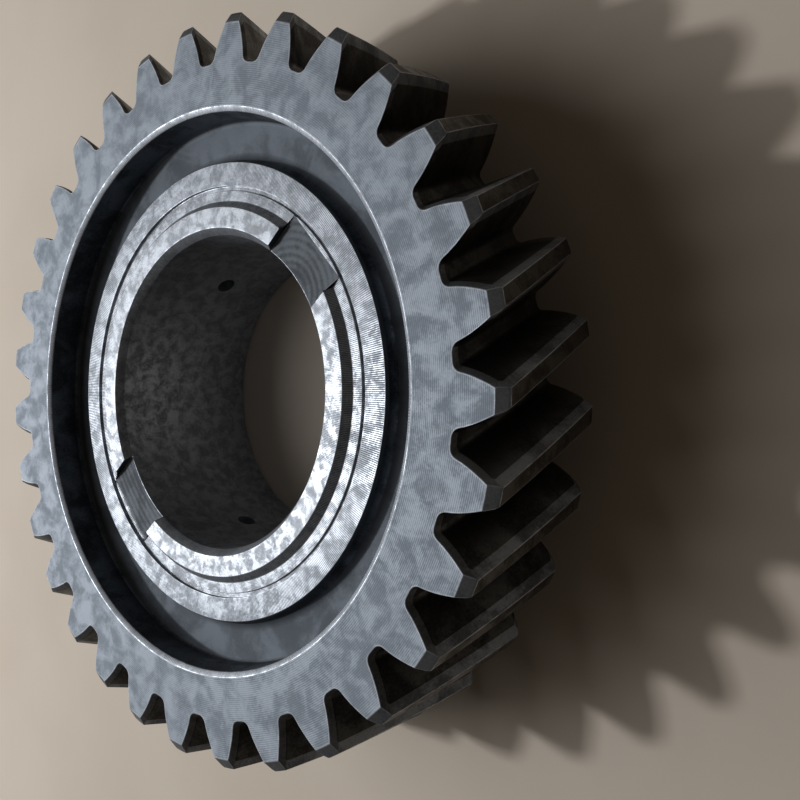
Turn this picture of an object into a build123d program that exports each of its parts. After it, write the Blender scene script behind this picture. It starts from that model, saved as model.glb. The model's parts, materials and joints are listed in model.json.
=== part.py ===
from build123d import *

import os
from math import acos, atan, cos, degrees, pi, radians, sin, sqrt, tan

# A heavy gearbox's loose helical gear, one steel piece, lying on its rear hub with
# its front face up. The origin is the centre of the rear hub's end, +Z points along
# the bore towards the front face, and every length is in millimetres.

# Gear data
TEETH = 31
NORMAL_MODULE = 4.5
PRESSURE_ANGLE = 20.0  # degrees, in the normal plane
HELIX_ANGLE = 23.0  # degrees, left hand
PROFILE_SHIFT = 0.4  # of a module
ADDENDUM = 1.0  # of a module
DEDENDUM = 1.25  # of a module
ROOT_FILLET = 1.35
FACE_WIDTH = 32.0
FIRST_TOOTH_ANGLE = 10.755  # degrees from +X, on the front face
TIP_CHAMFER_RADIAL = 2.3
TIP_CHAMFER_AXIAL = 1.4
EDGE_CHAMFER = 0.55  # broken edge all along the tooth outline, across the face
EDGE_CHAMFER_DEPTH = 1.1  # and along the axis

# Bore and its oil holes
BORE_RADIUS = 35.6
BORE_CHAMFER_RADIAL = 1.4
BORE_CHAMFER_AXIAL = 1.87
OIL_HOLES = 3
OIL_HOLE_DIAMETER = 4.6
OIL_HOLE_DROP = 27.7  # below the front face
FIRST_OIL_HOLE_ANGLE = 8.0  # degrees from +X

# Front of the hub, from the bore outwards. A drop is measured down from the front face.
THRUST_RING_WIDTH = 4.56
THRUST_RING_DROP = 4.4
THRUST_RING_SLOPE = 1.48  # how far its sloped outer wall runs out
TROUGH_WIDTH = 2.4
TROUGH_DROP = 6.0
GROOVE_WIDTH = 1.0
GROOVE_DROP = 6.5
HUB_RING_WIDTH = 5.45
HUB_RING_DROP = 5.7
HUB_EDGE_RADIAL = 0.3
HUB_EDGE_AXIAL = 0.8
OIL_SLOTS = 2
OIL_SLOT_WIDTH = 19.0
OIL_SLOT_DROP = 6.15
FIRST_OIL_SLOT_ANGLE = 42.5  # degrees from +X

# Rim, recesses and rear hub
RIM_WALL = 10.7  # from the tooth roots in to the recess
RIM_CHAMFER_RADIAL = 1.0
RIM_CHAMFER_AXIAL = 0.68
RECESS_DEPTH = 8.4  # at the rim
RECESS_FALL = 1.0  # how much deeper it is at the hub
RECESS_RIM_FILLET = 1.2
RECESS_HUB_FILLET = 2.4
REAR_RECESS_DEPTH = 11.0
REAR_RECESS_FILLET = 2.5
REAR_HUB_LENGTH = 14.0
REAR_HUB_CHAMFER = 1.0

CUTTER_OVERRUN = 1.0  # how far a tooth cutter runs past the metal
CHAMFER_OVERRUN = 0.4  # how far an edge chamfer's cutter runs past each end
CORNER_TOLERANCE = 0.01  # how near a height a corner counts as on it
FLANK_POINTS = 7

# Worked out from the sizes above
FRONT_FACE = REAR_HUB_LENGTH + FACE_WIDTH
PITCH_RADIUS = TEETH * NORMAL_MODULE / (2 * cos(radians(HELIX_ANGLE)))
TRANSVERSE_ANGLE = atan(tan(radians(PRESSURE_ANGLE)) / cos(radians(HELIX_ANGLE)))
BASE_RADIUS = PITCH_RADIUS * cos(TRANSVERSE_ANGLE)
TIP_RADIUS = PITCH_RADIUS + NORMAL_MODULE * (ADDENDUM + PROFILE_SHIFT)
ROOT_RADIUS = PITCH_RADIUS - NORMAL_MODULE * (DEDENDUM - PROFILE_SHIFT)
LEAD = 2 * pi * PITCH_RADIUS / tan(radians(HELIX_ANGLE))
TOOTH_PITCH = 360 / TEETH
RING_INNER = BORE_RADIUS + BORE_CHAMFER_RADIAL
RING_OUTER = RING_INNER + THRUST_RING_WIDTH
TROUGH_INNER = RING_OUTER + THRUST_RING_SLOPE
GROOVE_INNER = TROUGH_INNER + TROUGH_WIDTH
HUB_RING_INNER = GROOVE_INNER + GROOVE_WIDTH
HUB_RADIUS = HUB_RING_INNER + HUB_RING_WIDTH
RECESS_RADIUS = ROOT_RADIUS - RIM_WALL
RIM_FLOOR = FRONT_FACE - RECESS_DEPTH
HUB_FLOOR = RIM_FLOOR - RECESS_FALL
REAR_FLOOR = REAR_HUB_LENGTH + REAR_RECESS_DEPTH


def involute(angle):
    """Polar angle that an involute has gained where its pressure angle is this."""
    return tan(angle) - angle


def polar(radius, angle):
    """Point at a radius and an angle in radians."""
    return (radius * cos(angle), radius * sin(angle))


def twisted_plane(drop):
    """Plane at a drop below the front face, turned as the left-hand teeth are there."""
    return Plane.XY.offset(FRONT_FACE - drop).rotated((0, 0, 360 * drop / LEAD))


def draw_tooth_space(inset=0.0):
    """Draw the gap between two teeth, centred on +X and wider by inset all round.

    The curve at a constant distance from an involute is the same involute turned, so
    the inset turns the flanks. The root fillet's centre lies on such a curve too.
    """
    tooth_at_pitch = pi / 2 + 2 * PROFILE_SHIFT * tan(radians(PRESSURE_ANGLE))
    gap_at_pitch = (pi - tooth_at_pitch) / TEETH
    gap_at_base = gap_at_pitch - involute(TRANSVERSE_ANGLE) + inset / BASE_RADIUS
    root = ROOT_RADIUS - inset
    fillet_radius = ROOT_FILLET + inset
    outer = TIP_RADIUS + CUTTER_OVERRUN

    # Lengths of the base circle's tangent out to the fillet's centre and to its end
    centre_run = sqrt((root + fillet_radius) ** 2 - BASE_RADIUS**2)
    flank_run = centre_run - fillet_radius
    centre_slope = atan(centre_run / BASE_RADIUS)
    centre_angle = gap_at_base + flank_run / BASE_RADIUS - centre_slope
    flank_start = sqrt(BASE_RADIUS**2 + flank_run**2)

    flank_step = (outer - flank_start) / (FLANK_POINTS - 1)
    radii = [flank_start + flank_step * index for index in range(FLANK_POINTS)]
    points = [polar(r, gap_at_base + involute(acos(BASE_RADIUS / r))) for r in radii]

    with BuildLine() as outline:
        flank = Spline(*points)
        CenterArc(
            polar(root + fillet_radius, centre_angle),
            fillet_radius,
            degrees(centre_angle) + 180,
            degrees(centre_slope) - 90,
        )
        mirror(outline.line, about=Plane.XZ)
        CenterArc((0, 0), root, -degrees(centre_angle), 2 * degrees(centre_angle))
        Line(flank @ 1, polar(outer, -gap_at_base - involute(acos(BASE_RADIUS / outer))))
    make_face(outline.edges())


# One tooth space, with the broken edges at both of its ends
with BuildPart() as tooth_space:
    space_start = REAR_HUB_LENGTH - CUTTER_OVERRUN
    space_length = FACE_WIDTH + 2 * CUTTER_OVERRUN
    with BuildSketch(twisted_plane(FRONT_FACE - space_start)):
        draw_tooth_space()
    with BuildLine() as axis_line:
        Line((0, 0, space_start), (0, 0, space_start + space_length))
    with BuildLine() as twist_guide:
        Helix(LEAD, space_length, PITCH_RADIUS, center=(0, 0, space_start), lefthand=True)
    sweep(path=axis_line.line, binormal=twist_guide.edge())
    for face_drop, inward in ((0, 1), (FACE_WIDTH, -1)):
        for depth in (-CHAMFER_OVERRUN, EDGE_CHAMFER_DEPTH + CHAMFER_OVERRUN):
            with BuildSketch(twisted_plane(face_drop + inward * depth)):
                draw_tooth_space(EDGE_CHAMFER * (1 - depth / EDGE_CHAMFER_DEPTH))
        loft(ruled=True)

# The turned blank, then its tooth spaces, oil slots and oil holes
with BuildPart() as helical_gear:
    with BuildSketch(Plane.XZ) as half_section:
        with BuildLine():
            Polyline(
                (BORE_RADIUS, REAR_HUB_CHAMFER),
                (BORE_RADIUS, FRONT_FACE - THRUST_RING_DROP - BORE_CHAMFER_AXIAL),
                (RING_INNER, FRONT_FACE - THRUST_RING_DROP),
                (RING_OUTER, FRONT_FACE - THRUST_RING_DROP),
                (TROUGH_INNER, FRONT_FACE - TROUGH_DROP),
                (GROOVE_INNER, FRONT_FACE - TROUGH_DROP),
                (GROOVE_INNER, FRONT_FACE - GROOVE_DROP),
                (HUB_RING_INNER, FRONT_FACE - GROOVE_DROP),
                (HUB_RING_INNER, FRONT_FACE - HUB_RING_DROP),
                (HUB_RADIUS - HUB_EDGE_RADIAL, FRONT_FACE - HUB_RING_DROP),
                (HUB_RADIUS, FRONT_FACE - HUB_RING_DROP - HUB_EDGE_AXIAL),
                (HUB_RADIUS, HUB_FLOOR),
                (RECESS_RADIUS, RIM_FLOOR),
                (RECESS_RADIUS, FRONT_FACE - RIM_CHAMFER_AXIAL),
                (RECESS_RADIUS + RIM_CHAMFER_RADIAL, FRONT_FACE),
                (TIP_RADIUS - TIP_CHAMFER_RADIAL, FRONT_FACE),
                (TIP_RADIUS, FRONT_FACE - TIP_CHAMFER_AXIAL),
                (TIP_RADIUS, REAR_HUB_LENGTH + TIP_CHAMFER_AXIAL),
                (TIP_RADIUS - TIP_CHAMFER_RADIAL, REAR_HUB_LENGTH),
                (RECESS_RADIUS + RIM_CHAMFER_RADIAL, REAR_HUB_LENGTH),
                (RECESS_RADIUS, REAR_HUB_LENGTH + RIM_CHAMFER_AXIAL),
                (RECESS_RADIUS, REAR_FLOOR),
                (HUB_RADIUS, REAR_FLOOR),
                (HUB_RADIUS, REAR_HUB_CHAMFER),
                (HUB_RADIUS - REAR_HUB_CHAMFER, 0),
                (BORE_RADIUS + REAR_HUB_CHAMFER, 0),
                close=True,
            )
        make_face()
        for floor, fillet_radius in (
            (RIM_FLOOR, RECESS_RIM_FILLET),
            (HUB_FLOOR, RECESS_HUB_FILLET),
            (REAR_FLOOR, REAR_RECESS_FILLET),
        ):
            floor_corners = half_section.vertices().filter_by(
                lambda corner: abs(corner.Y - floor) < CORNER_TOLERANCE
            )
            fillet(floor_corners, fillet_radius)
    revolve(axis=Axis.Z)
    with PolarLocations(0, TEETH, start_angle=FIRST_TOOTH_ANGLE + TOOTH_PITCH / 2):
        add(tooth_space.part, mode=Mode.SUBTRACT)
    with BuildSketch(Plane.XY.offset(FRONT_FACE - OIL_SLOT_DROP)):
        with PolarLocations(GROOVE_INNER / 2, OIL_SLOTS, start_angle=FIRST_OIL_SLOT_ANGLE):
            Rectangle(GROOVE_INNER, OIL_SLOT_WIDTH)
        Circle(GROOVE_INNER, mode=Mode.INTERSECT)
    extrude(amount=OIL_SLOT_DROP, mode=Mode.SUBTRACT)
    with Locations((0, 0, FRONT_FACE - OIL_HOLE_DROP)):
        with PolarLocations(0, OIL_HOLES, start_angle=FIRST_OIL_HOLE_ANGLE):
            Cylinder(
                OIL_HOLE_DIAMETER / 2,
                HUB_RADIUS + CUTTER_OVERRUN,
                rotation=(0, 90, 0),
                align=(Align.CENTER, Align.CENTER, Align.MIN),
                mode=Mode.SUBTRACT,
            )

helical_gear.part.label = "helical_gear"
os.makedirs("parts", exist_ok=True)
export_step(helical_gear.part, "parts/helical_gear.step")
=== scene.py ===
import json
import logging
from dataclasses import dataclass, field
from enum import Enum
from math import acos, atan, atan2, copysign, cos, hypot, pi, radians, sin, sqrt, tan

import bmesh
import bpy
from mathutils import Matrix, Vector


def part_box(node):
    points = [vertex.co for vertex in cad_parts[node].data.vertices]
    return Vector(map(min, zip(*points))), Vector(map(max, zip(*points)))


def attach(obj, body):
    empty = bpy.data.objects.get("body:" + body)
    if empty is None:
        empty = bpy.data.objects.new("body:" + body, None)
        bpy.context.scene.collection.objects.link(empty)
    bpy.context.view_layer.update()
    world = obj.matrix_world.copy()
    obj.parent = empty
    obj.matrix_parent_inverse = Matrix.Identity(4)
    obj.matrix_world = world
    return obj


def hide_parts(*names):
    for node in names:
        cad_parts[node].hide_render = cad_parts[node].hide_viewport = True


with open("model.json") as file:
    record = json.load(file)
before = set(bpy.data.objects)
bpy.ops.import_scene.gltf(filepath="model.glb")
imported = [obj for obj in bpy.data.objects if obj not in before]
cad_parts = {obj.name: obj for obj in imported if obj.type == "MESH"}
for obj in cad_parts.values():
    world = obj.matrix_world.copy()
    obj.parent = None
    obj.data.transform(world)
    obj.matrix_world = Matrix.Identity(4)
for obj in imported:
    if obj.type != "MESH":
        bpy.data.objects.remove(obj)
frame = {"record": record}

# Studio scene for a heavy gearbox's loose helical gear, in metres, +Z along its bore.

LOG = logging.getLogger("helical_gear")
Colour = tuple[float, float, float]
Row = list[tuple[float, float, float]]
MM = 0.001
MARGIN = 0.1 * MM  # how near a size a face counts as on it
LEVEL = 0.99  # least upward share of a level face's normal
FLOOR_LIKE = 0.7  # the same for a recess floor with its fillets
FLAT = 0.9999  # the same for a face that is shaded quite flat
ACROSS = 0.02  # most sideways share of a turned face's normal
RECESS_FILLET_STEPS = 6
FILM_GLOSS = 0.2  # how strongly the dull film mirrors


class ToolMark(Enum):
    """How a cutter or a wheel left its marks on the steel."""

    NONE = "none"
    TURNED = "turned"
    BORED = "bored"
    SHAVED = "shaved"
    SWIRLED = "swirled"


class Surface(Enum):
    """The gear's surfaces, in the order of the piece's material slots."""

    RIM_FACE = 0
    EDGE = 1
    FLANK = 2
    TIP_LAND = 3
    TIP_CHAMFER = 4
    TOOTH_EDGE = 5
    RECESS_WALL = 6
    RECESS_FLOOR = 7
    HUB_RING = 8
    TROUGH = 9
    THRUST_RING = 10
    OIL_SLOT = 11
    BORE = 12
    REAR = 13
    RIM_CHAMFER = 14
    RING_SLOPE = 15


class NodeBench:
    """A material's node tree, with short calls for the nodes that the finishes use."""

    def __init__(self, name: str) -> None:
        """Start a material with an empty node tree.

        Args:
            name: The material's name.
        """
        self.material = bpy.data.materials.new(name)
        self.material.use_nodes = True
        self.tree = self.material.node_tree
        self.tree.nodes.clear()

    def add(self, kind: str, **settings: object) -> bpy.types.Node:
        """Add a node.

        Args:
            kind: The node's type name.
            settings: Properties of the node and their values.

        Returns:
            The new node.
        """
        node = self.tree.nodes.new(kind)
        for key, value in settings.items():
            setattr(node, key, value)
        return node

    def put(self, socket: bpy.types.NodeSocket, source: object) -> None:
        """Feed an input socket from another socket, or set it to a plain value."""
        if isinstance(source, bpy.types.NodeSocket):
            self.tree.links.new(source, socket)
        else:
            socket.default_value = source

    def maths(self, operation: str, *terms: object) -> bpy.types.NodeSocket:
        """Add a Math node.

        Args:
            operation: The node's operation.
            terms: Its inputs, each a socket or a number.

        Returns:
            The result's socket.
        """
        node = self.add("ShaderNodeMath", operation=operation)
        for socket, term in zip(node.inputs, terms):
            self.put(socket, term)
        return node.outputs[0]

    def noise(self, place: bpy.types.NodeSocket, size: float, detail: float = 3.0,
              roughness: float = 0.5, distortion: float = 0.0) -> bpy.types.NodeSocket:
        """Add a noise whose features are about one size.

        Args:
            place: The position to read.
            size: The features' size in metres.
            detail: How many finer layers it has.
            roughness: How strong those layers are.
            distortion: How far it swirls.

        Returns:
            The noise's factor socket.
        """
        node = self.add("ShaderNodeTexNoise")
        self.put(node.inputs["Vector"], place)
        node.inputs["Scale"].default_value = 1.0 / size
        node.inputs["Detail"].default_value = detail
        node.inputs["Roughness"].default_value = roughness
        node.inputs["Distortion"].default_value = distortion
        return node.outputs[0]

    def ramp(self, factor: bpy.types.NodeSocket, low: float, high: float,
             to_low: float = 0.0, to_high: float = 1.0) -> bpy.types.NodeSocket:
        """Map a range of a factor smoothly onto another range.

        Args:
            factor: The value to map.
            low: Where the range starts.
            high: Where it ends.
            to_low: What low becomes.
            to_high: What high becomes.

        Returns:
            The mapped value's socket.
        """
        node = self.add("ShaderNodeMapRange", interpolation_type="SMOOTHSTEP")
        for name, value in (("Value", factor), ("From Min", low), ("From Max", high),
                            ("To Min", to_low), ("To Max", to_high)):
            self.put(node.inputs[name], value)
        return node.outputs[0]

    def blend(self, factor: object, first: object, second: object) -> bpy.types.NodeSocket:
        """Mix two colours.

        Args:
            factor: How much of the second colour shows.
            first: The first colour, a socket or three numbers.
            second: The second colour, a socket or three numbers.

        Returns:
            The mixed colour's socket.
        """
        node = self.add("ShaderNodeMix", data_type="RGBA")
        colour_inputs = [socket for socket in node.inputs if socket.type == "RGBA"]
        self.put(node.inputs[0], factor)
        for socket, colour in zip(colour_inputs, (first, second)):
            self.put(socket, (*colour, 1.0) if isinstance(colour, tuple) else colour)
        return next(socket for socket in node.outputs if socket.type == "RGBA")


@dataclass(frozen=True)
class SteelFinish:
    """One finish of the gear's steel: its tones, its gloss and its tool marks.

    Attributes:
        name: The finish's name.
        dark: Tone of the stained or oily patches.
        light: Tone of the clean steel.
        gloss: Roughness of the clean and of the stained steel.
        mottle: Size of the patches in metres.
        speckle: How much the fine specks change the tone.
        mark: Kind of tool marks.
        pitch: Distance between two marks in metres.
        depth: Height of the marks in metres.
        streak_and_glint: How much the marks change the tone, partly their own colour and partly a
            painted glint.
        grain: Height of the fine random grain in metres.
        worn_and_highlit: Tone of the polished edges with a painted highlight, or None where they
            stay as the rest.
        metal: How bare the metal is; the rest of it is under a dull film.
    """

    name: str
    dark: Colour
    light: Colour
    gloss: tuple[float, float] = (0.56, 0.7)
    mottle: float = 9.0 * MM
    speckle: float = 0.5
    mark: ToolMark = ToolMark.NONE
    pitch: float = 0.42 * MM
    depth: float = 0.01 * MM
    streak_and_glint: float = 0.0
    grain: float = 0.006 * MM
    worn_and_highlit: Colour | None = None
    metal: float = 1.0

    def build(self) -> bpy.types.Material:
        """Make the finish's material.

        Returns:
            The new material.
        """
        bench = NodeBench(self.name)
        place = bench.add("ShaderNodeTexCoord").outputs["Object"]
        line = self.mark_line(bench, place)
        tone = self.tone(bench, place, line)
        colour = bench.blend(tone, self.dark, self.light)
        # Polished, rubbed edges and a painted highlight lighten the steel along sharp edges.
        if self.worn_and_highlit is not None:
            colour = bench.blend(self.wear_and_highlight(bench, place), colour, self.worn_and_highlit)
        gloss = bench.ramp(tone, 0.15, 0.85, self.gloss[1], self.gloss[0])
        shader = bench.add("ShaderNodeBsdfPrincipled")
        bench.put(shader.inputs["Base Color"], colour)
        bench.put(shader.inputs["Roughness"], gloss)
        shader.inputs["Metallic"].default_value = self.metal
        shader.inputs["Specular IOR Level"].default_value = FILM_GLOSS
        bench.put(shader.inputs["Normal"], self.relief(bench, place, line))
        output = bench.add("ShaderNodeOutputMaterial")
        bench.put(output.inputs["Surface"], shader.outputs[0])
        return bench.material

    def tone(self, bench: NodeBench, place: bpy.types.NodeSocket,
             line: bpy.types.NodeSocket | None) -> bpy.types.NodeSocket:
        """Mix the stains, the specks and the tool marks with their painted glint into one tone.

        Args:
            bench: The material's node tree.
            place: The position to read.
            line: The tool marks' wave, or None.

        Returns:
            The tone's socket, from 0, dark, to 1, light.
        """
        patches = bench.noise(place, self.mottle, detail=4.0, roughness=0.6, distortion=0.4)
        specks = bench.noise(place, 0.55 * MM, detail=3.0, roughness=0.75)
        tone = bench.maths("MULTIPLY_ADD", bench.maths("SUBTRACT", specks, 0.5),
                           self.speckle * 2.0, bench.ramp(patches, 0.3, 0.7, 0.15, 0.85))
        # The tool marks lighten and darken the tone, partly a painted glint.
        if line is not None and self.streak_and_glint > 0.0:
            tone = bench.maths("MULTIPLY_ADD", bench.maths("SUBTRACT", line, 0.5),
                               self.streak_and_glint * 2.0, tone)
        return bench.ramp(tone, 0.0, 1.0)

    def wear_and_highlight(self, bench: NodeBench, place: bpy.types.NodeSocket) -> bpy.types.NodeSocket:
        """Fade the polish and the painted highlight of an edge unevenly into the face beside it.

        Args:
            bench: The material's node tree.
            place: The position to read.

        Returns:
            The polish's socket, from 0 to 1.
        """
        edge = bench.add("ShaderNodeAttribute", attribute_name="wear_and_highlight").outputs["Fac"]
        uneven = bench.noise(place, 1.6 * MM, detail=3.0, roughness=0.65)
        reach = bench.maths("MULTIPLY_ADD", bench.maths("SUBTRACT", uneven, 0.5), 1.1, edge)
        return bench.ramp(reach, 0.3, 0.95)

    def relief(self, bench: NodeBench, place: bpy.types.NodeSocket,
               line: bpy.types.NodeSocket | None) -> bpy.types.NodeSocket:
        """Add the tool marks and the grain as a bump.

        Args:
            bench: The material's node tree.
            place: The position to read.
            line: The tool marks' wave, or None.

        Returns:
            The bumped normal's socket.
        """
        grain = bench.noise(place, 0.35 * MM, detail=2.0)
        height = bench.maths("MULTIPLY", grain, self.grain)
        if line is not None:
            uneven = bench.ramp(bench.noise(place, 12.0 * MM), 0.3, 0.7, 0.5, 1.0)
            ridge = bench.maths("MULTIPLY", line, bench.maths("MULTIPLY", uneven, self.depth))
            height = bench.maths("ADD", height, ridge)
        bump = bench.add("ShaderNodeBump")
        bump.inputs["Distance"].default_value = 1.0
        bench.put(bump.inputs["Height"], height)
        return bump.outputs[0]

    def mark_line(self, bench: NodeBench,
                  place: bpy.types.NodeSocket) -> bpy.types.NodeSocket | None:
        """Add the wave that the tool marks follow.

        Args:
            bench: The material's node tree.
            place: The position to read.

        Returns:
            The wave's socket, from 0 to 1, or None where the finish has no marks.
        """
        if self.mark is ToolMark.NONE:
            return None
        split = bench.add("ShaderNodeSeparateXYZ")
        bench.put(split.inputs[0], place)
        x, y, z = split.outputs
        if self.mark is ToolMark.BORED:
            along = z
        elif self.mark is ToolMark.SHAVED:
            along = bench.maths("ADD", z, bench.maths("MULTIPLY", x, 0.25))
        elif self.mark is ToolMark.SWIRLED:
            swirl = bench.maths("POWER", bench.maths("SUBTRACT", x, 24.0 * MM), 2.0)
            side = bench.maths("POWER", bench.maths("SUBTRACT", y, 20.0 * MM), 2.0)
            along = bench.maths("SQRT", bench.maths("ADD", swirl, side))
        else:
            along = bench.maths("SQRT", bench.maths("ADD", bench.maths("POWER", x, 2.0),
                                                    bench.maths("POWER", y, 2.0)))
        wobble = bench.maths("MULTIPLY", bench.noise(place, 5.0 * MM), 0.25 * self.pitch)
        turns = bench.maths("MULTIPLY", bench.maths("ADD", along, wobble), 2.0 * pi / self.pitch)
        return bench.maths("MULTIPLY_ADD", bench.maths("SINE", turns), 0.5, 0.5)


def gear_finishes() -> dict[Surface, SteelFinish]:
    """List the finish of each surface.

    Returns:
        Each surface's finish.
    """
    turned = ToolMark.TURNED
    return {
        Surface.RIM_FACE: SteelFinish("turned_rim_steel", (0.2, 0.235, 0.28), (0.34, 0.385, 0.445),
                                      (0.6, 0.72), 5.0 * MM, 0.35, turned, depth=0.014 * MM,
                                      streak_and_glint=0.2, worn_and_highlit=(0.5, 0.55, 0.61), metal=0.35),
        # The bevels' brighter steel is partly polish from use and partly a painted highlight.
        Surface.EDGE: SteelFinish("worn_edge_highlight_steel", (0.24, 0.26, 0.29), (0.5, 0.54, 0.6),
                                  (0.42, 0.55), mottle=3.0 * MM, metal=0.7),
        # The flanks' near-black tone is painted shade.
        Surface.FLANK: SteelFinish("shaded_flank_steel", (0.03, 0.029, 0.028), (0.1, 0.1, 0.1),
                                   (0.45, 0.6), mark=ToolMark.SHAVED, depth=0.003 * MM),
        Surface.TIP_LAND: SteelFinish("brown_tip_steel", (0.045, 0.04, 0.036), (0.13, 0.12, 0.11),
                                      (0.45, 0.62), mottle=5.0 * MM),
        Surface.TIP_CHAMFER: SteelFinish("tip_chamfer_steel", (0.12, 0.13, 0.145),
                                         (0.32, 0.345, 0.38), (0.5, 0.65)),
        Surface.TOOTH_EDGE: SteelFinish("tooth_edge_steel", (0.1, 0.11, 0.12),
                                        (0.26, 0.28, 0.3), (0.5, 0.65)),
        # The recess walls' darker tone is painted shade.
        Surface.RECESS_WALL: SteelFinish("shaded_wall_steel", (0.05, 0.055, 0.062),
                                         (0.14, 0.155, 0.175), (0.45, 0.6),
                                         mark=ToolMark.BORED, depth=0.004 * MM),
        Surface.RECESS_FLOOR: SteelFinish("satin_floor_steel", (0.09, 0.105, 0.125),
                                          (0.135, 0.156, 0.184), (0.68, 0.76), speckle=0.25,
                                          mark=turned, pitch=0.6 * MM, depth=0.004 * MM,
                                          metal=0.45),
        Surface.HUB_RING: SteelFinish("hub_ring_steel", (0.112, 0.133, 0.16),
                                      (0.155, 0.182, 0.216), (0.84, 0.9), 7.0 * MM, 0.25,
                                      metal=0.35),
        Surface.TROUGH: SteelFinish("trough_steel", (0.052, 0.061, 0.072), (0.1, 0.114, 0.132),
                                    (0.8, 0.88), mark=turned, pitch=0.55 * MM, depth=0.03 * MM,
                                    streak_and_glint=0.25, metal=0.4),
        Surface.THRUST_RING: SteelFinish("bright_ring_steel", (0.19, 0.206, 0.225),
                                         (0.25, 0.269, 0.294), (0.78, 0.86), speckle=0.25,
                                         mark=turned, pitch=0.3 * MM, depth=0.004 * MM,
                                         metal=0.5),
        Surface.OIL_SLOT: SteelFinish("milled_slot_steel", (0.09, 0.104, 0.122),
                                      (0.165, 0.187, 0.215), (0.76, 0.84), mark=ToolMark.SWIRLED,
                                      pitch=1.6 * MM, depth=0.02 * MM, streak_and_glint=0.2, metal=0.4),
        # The bore's near-black tone is painted shade.
        Surface.BORE: SteelFinish("shaded_ground_bore_steel", (0.005, 0.0045, 0.004),
                                  (0.007, 0.0065, 0.006), (0.6, 0.68), speckle=0.15,
                                  mark=ToolMark.BORED, pitch=0.5 * MM, depth=0.001 * MM,
                                  metal=0.3),
        Surface.REAR: SteelFinish("rear_steel", (0.11, 0.125, 0.145), (0.3, 0.335, 0.38),
                                  mark=turned, depth=0.01 * MM, streak_and_glint=0.15),
        # The rim chamfer's bright tone is partly polish from use and partly a painted highlight.
        Surface.RIM_CHAMFER: SteelFinish("rim_chamfer_highlight_steel", (0.3, 0.33, 0.37),
                                         (0.5, 0.54, 0.6), (0.5, 0.6), mottle=4.0 * MM,
                                         metal=0.6),
        # The ring's slope is darker than the thrust ring: painted shade.
        Surface.RING_SLOPE: SteelFinish("shaded_ring_slope_steel", (0.03, 0.034, 0.04),
                                        (0.09, 0.1, 0.115), (0.46, 0.6), mark=turned,
                                        pitch=0.3 * MM, depth=0.004 * MM),
    }


@dataclass(frozen=True)
class ToothForm:
    """An involute tooth of a left-hand helical gear, and the outline of the whole rim.

    Attributes:
        teeth: Number of teeth.
        module: Module in the normal plane.
        pressure_angle: Pressure angle in the normal plane, in degrees.
        helix_angle: Lean of the teeth at the pitch circle, in degrees.
        shift: Profile shift, of a module.
        addendum: Height above the pitch circle, of a module.
        dedendum: Depth below it, of a module.
        fillet: Radius at the tooth's root.
        first_tooth: Direction of one tooth on the front face, in degrees from +X.
        fillet_steps: Segments along a root fillet.
        flank_steps: Segments along a flank.
    """

    teeth: int = 31
    module: float = 4.5 * MM
    pressure_angle: float = 20.0
    helix_angle: float = 23.0
    shift: float = 0.4
    addendum: float = 1.0
    dedendum: float = 1.25
    fillet: float = 1.35 * MM
    first_tooth: float = 10.755
    fillet_steps: int = 5
    flank_steps: int = 5

    @property
    def pitch_radius(self) -> float:
        """Radius of the pitch circle."""
        return self.teeth * self.module / (2.0 * cos(radians(self.helix_angle)))

    @property
    def transverse_angle(self) -> float:
        """Pressure angle across the axis, in radians."""
        return atan(tan(radians(self.pressure_angle)) / cos(radians(self.helix_angle)))

    @property
    def base_radius(self) -> float:
        """Radius of the base circle."""
        return self.pitch_radius * cos(self.transverse_angle)

    @property
    def tip_radius(self) -> float:
        """Radius of the tip cylinder."""
        return self.pitch_radius + self.module * (self.addendum + self.shift)

    @property
    def root_radius(self) -> float:
        """Radius of the root cylinder."""
        return self.pitch_radius - self.module * (self.dedendum - self.shift)

    def turn_at(self, drop: float) -> float:
        """Tell how far the teeth have turned at a drop below the front face, in radians."""
        return drop * tan(radians(self.helix_angle)) / self.pitch_radius

    def half_gap(self, inset: float, tip: float) -> list[tuple[float, float]]:
        """Trace half of a tooth space, from its middle to the middle of the next tooth.

        Args:
            inset: How much wider the space is all round, where an edge is broken.
            tip: Radius of the tooth's tip.

        Returns:
            Points as radius and angle from the middle of the space.
        """
        base = self.base_radius
        tooth = pi / 2.0 + 2.0 * self.shift * tan(radians(self.pressure_angle))
        gap_at_pitch = (pi - tooth) / self.teeth
        involute_at_pitch = tan(self.transverse_angle) - self.transverse_angle
        gap_at_base = gap_at_pitch - involute_at_pitch + inset / base
        root = self.root_radius - inset
        fillet = self.fillet + inset
        centre_radius = root + fillet
        centre_run = sqrt(centre_radius**2 - base**2)
        flank_run = centre_run - fillet
        slope = atan(centre_run / base)
        centre_angle = gap_at_base + flank_run / base - slope
        points = [(root, 0.0)]
        for step in range(self.fillet_steps + 1):
            swing = pi + (slope - pi / 2.0) * step / self.fillet_steps
            along = centre_radius + fillet * cos(swing)
            across = fillet * sin(swing)
            points.append((hypot(along, across), centre_angle + atan2(across, along)))
        flank_start = hypot(base, flank_run)
        for step in range(1, self.flank_steps + 1):
            radius = flank_start + (tip - flank_start) * step / self.flank_steps
            roll = acos(base / radius)
            points.append((radius, gap_at_base + tan(roll) - roll))
        points.append((tip, pi / self.teeth))
        return points

    def outline(self, inset: float, tip: float) -> list[tuple[float, float]]:
        """Trace the whole rim, from the middle of one tooth round to itself.

        Args:
            inset: How far the edge is broken back.
            tip: Radius of the tooth tips.

        Returns:
            Points as radius and angle, the last one a full turn after the first.
        """
        half = self.half_gap(inset, tip)
        space = [(radius, -angle) for radius, angle in reversed(half[1:])] + half[:-1]
        start = radians(self.first_tooth) + pi / self.teeth
        points = []
        for tooth in range(self.teeth):
            middle = start + 2.0 * pi * tooth / self.teeth
            points += [(radius, middle + angle) for radius, angle in space]
        return [*points, (points[0][0], points[0][1] + 2.0 * pi)]


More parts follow.
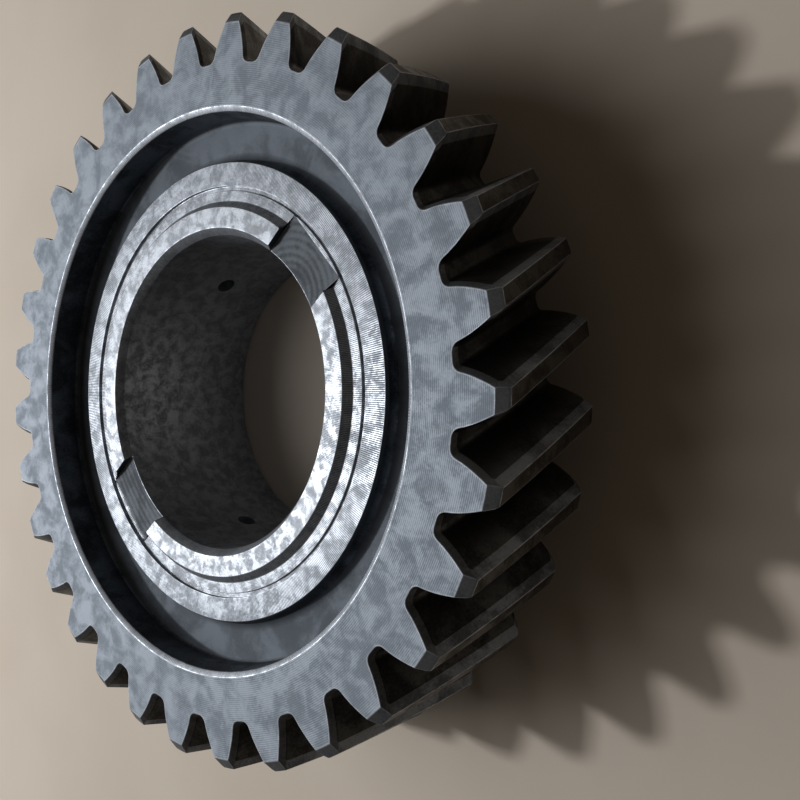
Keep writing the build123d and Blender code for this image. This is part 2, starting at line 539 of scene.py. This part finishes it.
@dataclass
class GearBody:
    """The gear's one steel body, wrapped from a sheet of quads, then cut and deburred.

    The sheet's rows run round the axis. They start under the rim, climb the teeth, cross
    the front face, the recess and the hub, go down the bore and come back underneath.
    A drop is measured down from the front face.

    Attributes:
        node: Name of the solid that it stands for.
        front: Height of the front face.
        bore: Radius of the bore.
        form: The teeth.
        face_width: Width of the toothed rim.
        face_tip: Radius where the tip chamfers meet the rim's faces.
        tip_chamfer: Width of a tip chamfer along the axis.
        edge_chamfer: Width of the broken tooth edge across the face.
        edge_chamfer_depth: Its width along the axis.
        edge_break: Width of the deburring on every other sharp edge.
        wear_and_highlight_band: Width of the polished band with its painted highlight beside the
            rim's edges.
        sharp: Least angle between two faces whose edge is deburred.
        flank_rows: Rows of quads along a tooth between its tip chamfers.
        ring_inner: Inner radius of the thrust ring's face.
        ring_outer: Outer radius of the thrust ring's face.
        ring_drop: Drop of the thrust ring's face.
        trough_inner: Inner radius of the trough.
        groove_inner: Inner radius of the groove.
        trough_drop: Drop of the trough.
        hub_ring_inner: Inner radius of the hub ring.
        groove_drop: Drop of the groove.
        hub_outer: Outer radius of the hub.
        hub_ring_drop: Drop of the hub ring.
        hub_edge: Chamfer of the hub ring, across and down.
        bore_mouth_drop: Drop of the bore's mouth.
        recess_outer: Outer radius of the recesses.
        recess_depth: Drop of the front recess's floor at the rim.
        recess_fall: How much deeper it is at the hub.
        rim_fillet: Fillet of the front recess at the rim.
        hub_fillet: Fillet of the front recess at the hub.
        rear_fillet: Both fillets of the rear recess.
        rim_chamfer: Chamfer of the rim's inner edges, across and down.
        rear_recess_depth: Depth of the rear recess, from the rim's rear face.
        rear_hub_chamfer: Chamfer of the rear hub's edges.
        slot_width: Width of an oil slot.
        slot_drop: Drop of its floor.
        first_slot: Direction of one oil slot, in degrees from +X.
        oil_hole: Diameter of an oil hole.
        oil_hole_drop: Drop of its axis.
        first_oil_hole: Direction of one oil hole, in degrees from +X.
        finishes: The finish of each surface.
    """

    node: str
    front: float
    bore: float
    form: ToothForm = field(default_factory=ToothForm)
    face_width: float = 32.0 * MM
    face_tip: float = 79.77 * MM
    tip_chamfer: float = 1.4 * MM
    edge_chamfer: float = 0.55 * MM
    edge_chamfer_depth: float = 1.1 * MM
    edge_break: float = 0.12 * MM
    wear_and_highlight_band: float = 0.5 * MM
    sharp: float = radians(30.0)
    flank_rows: int = 6
    ring_inner: float = 37.0 * MM
    ring_outer: float = 41.56 * MM
    ring_drop: float = 4.4 * MM
    trough_inner: float = 43.04 * MM
    groove_inner: float = 45.44 * MM
    trough_drop: float = 6.0 * MM
    hub_ring_inner: float = 46.44 * MM
    groove_drop: float = 6.5 * MM
    hub_outer: float = 51.89 * MM
    hub_ring_drop: float = 5.7 * MM
    hub_edge: tuple[float, float] = (0.3 * MM, 0.8 * MM)
    bore_mouth_drop: float = 6.27 * MM
    recess_outer: float = 61.245 * MM
    recess_depth: float = 8.4 * MM
    recess_fall: float = 1.0 * MM
    rim_fillet: float = 1.2 * MM
    hub_fillet: float = 2.4 * MM
    rear_fillet: float = 2.5 * MM
    rim_chamfer: tuple[float, float] = (1.0 * MM, 0.68 * MM)
    rear_recess_depth: float = 11.0 * MM
    rear_hub_chamfer: float = 1.0 * MM
    slot_width: float = 19.0 * MM
    slot_drop: float = 6.15 * MM
    first_slot: float = 42.5
    oil_hole: float = 4.6 * MM
    oil_hole_drop: float = 27.7 * MM
    first_oil_hole: float = 8.0
    finishes: dict[Surface, SteelFinish] = field(default_factory=gear_finishes)

    def build(self) -> bpy.types.Object:
        """Make the finished body.

        Returns:
            The body, which rides on the root and replaces its solid.
        """
        body = self.wrap_sheet()
        self.cut(body, self.slot_cutter(self.first_slot))
        self.cut(body, self.slot_cutter(self.first_slot + 180.0))
        for index in range(3):
            self.cut(body, self.oil_hole_cutter(self.first_oil_hole + 120.0 * index))
        self.add_finishes(body)
        self.mark_wear_and_highlight(body)
        self.deburr(body)
        self.sort_faces(body)
        self.round_shading(body)
        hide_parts(self.node)
        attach(body, "root")
        return body

    def tooth_rows(self) -> list[Row]:
        """Lay the sheet's rows up the teeth, from the rear face to the front one.

        Returns:
            The rows, each a list of places.
        """
        middle = self.face_width - 2.0 * self.tip_chamfer
        drops = [self.tip_chamfer + middle * step / self.flank_rows
                 for step in range(self.flank_rows + 1)]
        drops = [0.0, self.edge_chamfer_depth, *drops,
                 self.face_width - self.edge_chamfer_depth, self.face_width]
        rows = []
        for drop in reversed(drops):
            depth = min(drop, self.face_width - drop)
            inset = self.edge_chamfer * max(0.0, 1.0 - depth / self.edge_chamfer_depth)
            rise = min(1.0, depth / self.tip_chamfer)
            tip = self.face_tip + (self.form.tip_radius - self.face_tip) * rise
            turn = self.form.turn_at(drop)
            rows.append([(radius, angle + turn, drop)
                         for radius, angle in self.form.outline(inset, tip)])
        band = self.form.outline(self.edge_chamfer + self.wear_and_highlight_band,
                                 self.face_tip - self.wear_and_highlight_band)
        return [*rows, [(radius, angle, 0.0) for radius, angle in band]]

    def fillet_at(self, radius: float, drop: float, size: float, first: float,
                  last: float) -> list[Vector]:
        """Trace a fillet of a recess across the section.

        Args:
            radius: Distance of the fillet's centre from the axis.
            drop: Drop of its centre.
            size: Radius of the fillet.
            first: Direction of its first point, in radians from outwards to up.
            last: Direction of its last point.

        Returns:
            Points as radius and drop.
        """
        angles = [first + (last - first) * step / RECESS_FILLET_STEPS
                  for step in range(RECESS_FILLET_STEPS + 1)]
        return [Vector((radius + size * cos(angle), drop - size * sin(angle)))
                for angle in angles]

    def front_recess(self) -> list[Vector]:
        """Trace the front recess, whose floor falls a little towards the hub.

        Returns:
            Points as radius and drop, from the rim to the hub.
        """
        fall = atan(self.recess_fall / (self.recess_outer - self.hub_outer))
        floor = fall - pi / 2.0
        rim, hub = self.recess_outer - self.rim_fillet, self.hub_outer + self.hub_fillet
        rim_drop, hub_drop = (
            self.recess_depth + (self.recess_outer - radius) * tan(fall) - size / cos(fall)
            for radius, size in ((rim, self.rim_fillet), (hub, self.hub_fillet)))
        return [*self.fillet_at(rim, rim_drop, self.rim_fillet, 0.0, floor),
                *self.fillet_at(hub, hub_drop, self.hub_fillet, floor, -pi)]

    def turned_section(self) -> list[Vector]:
        """Trace the turned surfaces, from the rim's front face round to its rear face.

        Returns:
            Points as radius and drop.
        """
        fillet = self.rear_fillet
        rear_floor = self.face_width - self.rear_recess_depth + fillet
        rim_inner = self.recess_outer + self.rim_chamfer[0]
        under = self.front
        chamfer = self.rear_hub_chamfer
        return [
            Vector((self.form.root_radius - 2.5 * MM, 0.0)),
            Vector((rim_inner + self.wear_and_highlight_band, 0.0)),
            Vector((rim_inner, 0.0)),
            Vector((self.recess_outer, self.rim_chamfer[1])),
            *self.front_recess(),
            Vector((self.hub_outer, self.hub_ring_drop + self.hub_edge[1])),
            Vector((self.hub_outer - self.hub_edge[0], self.hub_ring_drop)),
            Vector((self.hub_ring_inner, self.hub_ring_drop)),
            Vector((self.hub_ring_inner, self.groove_drop)),
            Vector((self.groove_inner, self.groove_drop)),
            Vector((self.groove_inner, self.trough_drop)),
            Vector((self.trough_inner, self.trough_drop)),
            Vector((self.ring_outer, self.ring_drop)),
            Vector((self.ring_inner, self.ring_drop)),
            Vector((self.bore, self.bore_mouth_drop)),
            Vector((self.bore, under - chamfer)),
            Vector((self.bore + chamfer, under)),
            Vector((self.hub_outer - chamfer, under)),
            Vector((self.hub_outer, under - chamfer)),
            *self.fillet_at(self.hub_outer + fillet, rear_floor, fillet, pi, pi / 2.0),
            *self.fillet_at(self.recess_outer - fillet, rear_floor, fillet, pi / 2.0, 0.0),
            Vector((self.recess_outer, self.face_width - self.rim_chamfer[1])),
            Vector((rim_inner, self.face_width)),
        ]

    def wrap_sheet(self) -> bpy.types.Object:
        """Wrap a grid of quads round the gear and close its seams.

        Returns:
            The closed body.
        """
        teeth = self.tooth_rows()
        columns = len(teeth[0]) - 1
        first = radians(self.form.first_tooth)
        angles = [first + 2.0 * pi * column / columns for column in range(columns + 1)]
        section = self.turned_section()
        turned = [[(point.x, angle, point.y) for angle in angles] for point in section]
        pitch = 2.0 * pi / self.form.teeth
        seam, ledge = section[-1], Vector((section[0].x, self.face_width))
        start = [[(seam.x, angle + pitch, seam.y) for angle in angles],
                 [(ledge.x, angle + self.form.turn_at(ledge.y), ledge.y) for angle in angles]]
        rows = start + teeth + turned
        bpy.ops.object.select_all(action="DESELECT")
        bpy.ops.mesh.primitive_grid_add(x_subdivisions=columns, y_subdivisions=len(rows) - 1)
        body = bpy.context.active_object
        body.name = "gear_body"
        places = [axis for row in rows for radius, angle, drop in row
                  for axis in (radius * cos(angle), radius * sin(angle), self.front - drop)]
        body.data.vertices.foreach_set("co", places)
        bpy.ops.object.mode_set(mode="EDIT")
        bpy.ops.mesh.select_all(action="SELECT")
        bpy.ops.mesh.remove_doubles(threshold=0.001 * MM)
        bpy.ops.mesh.normals_make_consistent(inside=False)
        bpy.ops.object.mode_set(mode="OBJECT")
        return body

    def slot_cutter(self, direction: float) -> bpy.types.Object:
        """Make the block that mills one oil slot through the thrust ring.

        Args:
            direction: The slot's direction in degrees from +X.

        Returns:
            The cutter.
        """
        reach = sqrt(self.groove_inner**2 - (self.slot_width / 2.0) ** 2)
        inner = self.bore - 4.0 * MM
        height = self.slot_drop + 2.0 * MM
        turn = radians(direction)
        middle = (reach + inner) / 2.0
        place = (middle * cos(turn), middle * sin(turn),
                 self.front - self.slot_drop + height / 2.0)
        bpy.ops.object.select_all(action="DESELECT")
        bpy.ops.mesh.primitive_cube_add(size=1.0, location=place, rotation=(0.0, 0.0, turn),
                                        scale=(reach - inner, self.slot_width, height))
        return bpy.context.active_object

    def oil_hole_cutter(self, direction: float) -> bpy.types.Object:
        """Make the drill of one radial oil hole.

        Args:
            direction: The hole's direction in degrees from +X.

        Returns:
            The cutter.
        """
        start = self.bore - 4.0 * MM
        end = self.hub_outer + 4.0 * MM
        turn = radians(direction)
        middle = (start + end) / 2.0
        place = (middle * cos(turn), middle * sin(turn), self.front - self.oil_hole_drop)
        bpy.ops.object.select_all(action="DESELECT")
        bpy.ops.mesh.primitive_cylinder_add(vertices=32, radius=self.oil_hole / 2.0,
                                            depth=end - start, location=place,
                                            rotation=(0.0, pi / 2.0, turn))
        return bpy.context.active_object

    def cut(self, body: bpy.types.Object, cutter: bpy.types.Object) -> None:
        """Cut one tool out of the body and throw the tool away.

        Args:
            body: The body to cut.
            cutter: The tool.
        """
        bpy.ops.object.select_all(action="DESELECT")
        bpy.context.view_layer.objects.active = body
        body.select_set(True)
        cutting = body.modifiers.new("cut", "BOOLEAN")
        cutting.operation = "DIFFERENCE"
        cutting.solver = "EXACT"
        cutting.object = cutter
        bpy.ops.object.modifier_apply(modifier=cutting.name)
        bpy.data.objects.remove(cutter)

    def add_finishes(self, body: bpy.types.Object) -> None:
        """Give the body one material slot for each surface."""
        body.data.materials.clear()
        for surface in Surface:
            body.data.materials.append(self.finishes[surface].build())

    def mark_wear_and_highlight(self, body: bpy.types.Object) -> None:
        """Mark every point of a sharp edge, for the finishes to paint polish and a highlight
        there.
        """
        shell = bmesh.new()
        shell.from_mesh(body.data)
        worn_and_highlit = shell.verts.layers.float.new("wear_and_highlight")
        for edge in shell.edges:
            if edge.calc_face_angle(0.0) > self.sharp:
                for corner in edge.verts:
                    corner[worn_and_highlit] = 1.0
        shell.to_mesh(body.data)
        shell.free()

    def deburr(self, body: bpy.types.Object) -> None:
        """Bevel every sharp edge a little, and keep the flat faces flat in shading."""
        bpy.ops.object.mode_set(mode="EDIT")
        bpy.ops.mesh.select_all(action="DESELECT")
        bpy.ops.mesh.edges_select_sharp(sharpness=self.sharp)
        # The bevels take the edge steel, with its painted highlight.
        bpy.ops.mesh.bevel(offset=self.edge_break, segments=2, profile=0.5,
                           clamp_overlap=False, material=Surface.EDGE.value)
        bpy.ops.object.mode_set(mode="OBJECT")
        bpy.ops.object.shade_smooth_by_angle(angle=radians(24.0))
        weighting = body.modifiers.new("weighting", "WEIGHTED_NORMAL")
        weighting.keep_sharp = True
        bpy.ops.object.modifier_apply(modifier=weighting.name)

    def round_shading(self, body: bpy.types.Object) -> None:
        """Shade the flat faces flat and the turned ones as true surfaces of revolution."""
        mesh = body.data
        normals = [corner.vector.copy() for corner in mesh.corner_normals]
        rim = self.recess_outer + self.rim_chamfer[0]
        for face in mesh.polygons:
            normal, centre = face.normal, face.center
            radius = hypot(centre.x, centre.y)
            across = abs(normal.y * centre.x - normal.x * centre.y) / radius
            if abs(normal.z) > FLAT:
                for corner in face.loop_indices:
                    normals[corner] = Vector((0.0, 0.0, copysign(1.0, normal.z)))
            elif across < ACROSS and radius < rim:
                for corner in face.loop_indices:
                    place = mesh.vertices[mesh.loops[corner].vertex_index].co
                    outward = Vector((place.x, place.y, 0.0)).normalized()
                    smooth = normals[corner]
                    smooth = outward * smooth.dot(outward) + Vector((0.0, 0.0, smooth.z))
                    normals[corner] = smooth.normalized()
        mesh.normals_split_custom_set(normals)

    def sort_faces(self, body: bpy.types.Object) -> None:
        """Give each face the material of the surface that it lies on."""
        for face in body.data.polygons:
            if face.material_index != Surface.EDGE.value:
                face.material_index = self.surface_at(face.center, face.normal).value

    def surface_at(self, centre: Vector, normal: Vector) -> Surface:
        """Tell which surface a face lies on.

        Args:
            centre: The face's centre.
            normal: The face's normal.

        Returns:
            The surface.
        """
        radius = hypot(centre.x, centre.y)
        drop = self.front - centre.z
        outward = (normal.x * centre.x + normal.y * centre.y) / radius
        # The rim chamfer takes its own brighter steel with a painted highlight.
        if self.recess_outer + MARGIN < radius < self.recess_outer + self.rim_chamfer[0] and (
                drop < self.rim_chamfer[1]):
            return Surface.RIM_CHAMFER
        if radius > self.recess_outer + MARGIN:
            return self.rim_surface_at(radius, drop, normal.z, outward)
        if drop > self.recess_depth + 2.0 * MM and radius > self.bore + MARGIN:
            return Surface.REAR
        if radius > self.hub_outer - MARGIN:
            # Steep faces take the wall steel with its painted shade.
            return Surface.RECESS_FLOOR if normal.z > FLOOR_LIKE else Surface.RECESS_WALL
        if radius > self.hub_ring_inner + MARGIN:
            return Surface.HUB_RING
        if radius < self.bore + MARGIN:
            return Surface.BORE
        if normal.z > LEVEL and drop < self.ring_drop + MARGIN:
            return Surface.THRUST_RING
        if normal.z > LEVEL and drop > self.slot_drop - MARGIN and radius < self.groove_inner:
            return Surface.OIL_SLOT
        # The ring's slope takes its own steel with painted shade.
        if drop < self.trough_drop and self.ring_inner < radius < self.trough_inner:
            return Surface.RING_SLOPE
        return Surface.TROUGH

    def rim_surface_at(self, radius: float, drop: float, up: float, outward: float) -> Surface:
        """Tell which surface of the toothed rim a face lies on.

        Args:
            radius: The face's distance from the axis.
            drop: Its drop below the front face.
            up: How far its normal points up.
            outward: How far its normal points away from the axis.

        Returns:
            The surface.
        """
        depth = min(drop, self.face_width - drop)
        if abs(up) > 0.9:
            return Surface.RIM_FACE if up > 0 else Surface.REAR
        if radius > self.form.tip_radius - MARGIN:
            return Surface.TIP_LAND
        if outward > 0.3 and radius > self.face_tip:
            return Surface.TIP_CHAMFER
        if depth < self.edge_chamfer_depth and abs(up) > 0.3:
            return Surface.TOOTH_EDGE
        return Surface.FLANK


@dataclass
class Studio:
    """The pale floor, the soft lights and the camera.

    Attributes:
        front: Height of the gear's front face above the floor.
    """

    front: float

    def lay_floor(self) -> None:
        """Lay the pale floor that the gear stands on."""
        bpy.ops.object.select_all(action="DESELECT")
        bpy.ops.mesh.primitive_plane_add(size=6.0, location=(0.0, 0.0, 0.0))
        floor = bpy.context.active_object
        floor.name = "floor"
        bench = NodeBench("pale_board")
        place = bench.add("ShaderNodeTexCoord").outputs["Object"]
        tone = bench.ramp(bench.noise(place, 60.0 * MM, detail=4.0), 0.3, 0.7)
        colour = bench.blend(tone, (0.62, 0.545, 0.46), (0.66, 0.585, 0.5))
        shader = bench.add("ShaderNodeBsdfPrincipled")
        bench.put(shader.inputs["Base Color"], colour)
        shader.inputs["Roughness"].default_value = 0.85
        output = bench.add("ShaderNodeOutputMaterial")
        bench.put(output.inputs["Surface"], shader.outputs[0])
        floor.data.materials.append(bench.material)

    def add_lamp(self, name: str, place: Vector, size: tuple[float, float],
                 power: float) -> None:
        """Hang a white area lamp that faces the gear.

        Args:
            name: The lamp's name.
            place: Where it hangs, from the middle of the gear's front face.
            size: Its width and height.
            power: Its power in watts.
        """
        lamp = bpy.data.lights.new(name, "AREA")
        lamp.shape = "RECTANGLE"
        lamp.size, lamp.size_y = size
        lamp.energy = power
        holder = bpy.data.objects.new(name, lamp)
        holder.location = place + Vector((0.0, 0.0, self.front))
        holder.rotation_euler = (-place).to_track_quat("-Z", "Y").to_euler()
        bpy.context.scene.collection.objects.link(holder)

    def light(self) -> None:
        """Add the key lamp, the wide soft lamp behind it, the top lamp and the dim air."""
        self.add_lamp("key_lamp", Vector((-0.587, -0.08, 0.616)), (0.05, 0.05), 3.1)
        self.add_lamp("wide_lamp", Vector((-0.8, 0.03, 0.48)), (0.8, 0.4), 2.6)
        self.add_lamp("top_lamp", Vector((-0.5, -0.04, 0.866)), (0.45, 0.45), 1.5)
        world = bpy.data.worlds.new("studio_air")
        world.use_nodes = True
        air = world.node_tree.nodes["Background"]
        air.inputs["Color"].default_value = (1.0, 0.82, 0.64, 1.0)
        air.inputs["Strength"].default_value = 0.045
        bpy.context.scene.world = world

    def set_camera(self) -> None:
        """Set the camera above the rim's near side, rolled so that +X points right."""
        lens = bpy.data.cameras.new("camera")
        lens.lens = 38.25
        lens.sensor_width = 36.0
        lens.clip_start = 0.01
        camera = bpy.data.objects.new("camera", lens)
        camera.location = (155.2 * MM, 0.0, self.front + 117.73 * MM)
        camera.rotation_euler = (radians(-0.132), radians(39.024), radians(0.496))
        bpy.context.scene.collection.objects.link(camera)
        bpy.context.scene.camera = camera
        bpy.context.scene.view_settings.view_transform = "Standard"


def main() -> None:
    """Build the gear and its studio."""
    logging.basicConfig(level=logging.INFO)
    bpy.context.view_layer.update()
    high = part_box("helical_gear")[1]
    mounts = {mount["name"]: mount for mount in frame["record"]["mounts"]}
    bore = mounts["bore"]["dims"]["r_mm"] * MM
    body = GearBody("helical_gear", high.z, bore).build()
    LOG.info("%s: %d faces", body.name, len(body.data.polygons))
    studio = Studio(high.z)
    studio.lay_floor()
    studio.light()
    studio.set_camera()


if __name__ == "__main__":
    main()
